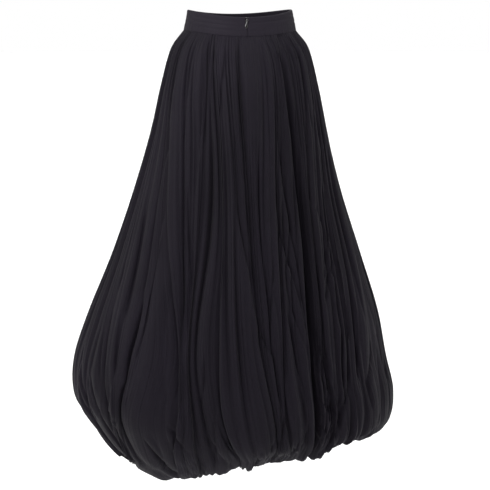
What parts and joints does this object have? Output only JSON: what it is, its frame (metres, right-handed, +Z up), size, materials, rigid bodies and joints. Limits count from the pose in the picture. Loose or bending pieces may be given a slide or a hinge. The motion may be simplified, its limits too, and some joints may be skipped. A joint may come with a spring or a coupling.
{
  "type": "balloon skirt",
  "caption": "Long black pleated balloon skirt in its worn form, with a shaped waistband, a centre-back zip and a turned-under gathered hem.",
  "frame": {"origin": "centre of the waistband's top opening, where the wearer's waist holds the skirt", "axes": "+Z up along the body; -Y out of the garment's centre back, where the zip is; +X to the wearer's right"},
  "size_m": [0.6832, 0.5429, 0.9823],
  "materials": {
    "cloth": "matt black pleated woven cloth with a soft sheen",
    "band": "matt black woven cloth, interlined",
    "tape": "matt black woven zip tape",
    "slider": "black lacquer",
    "pull": "bright nickel"
  },
  "bodies": {
    "skirt": {"waistband": "band", "skirt_front": "cloth", "skirt_back_left": "cloth", "skirt_back_right": "cloth", "hem_band": "band", "zip_tape_left": "tape", "zip_tape_right": "tape", "zip_slider": "slider"},
    "zip_pull": {"zip_pull": "pull"}
  },
  "joints": [
    {"name": "zip_pull_hinge", "type": "hinge", "parent": "skirt", "child": "zip_pull", "pos_m": [0, -0.0867, -0.01864], "axis": [-0.9877, 0.018, 0.1554], "range_deg": [0, 150]}
  ]
}
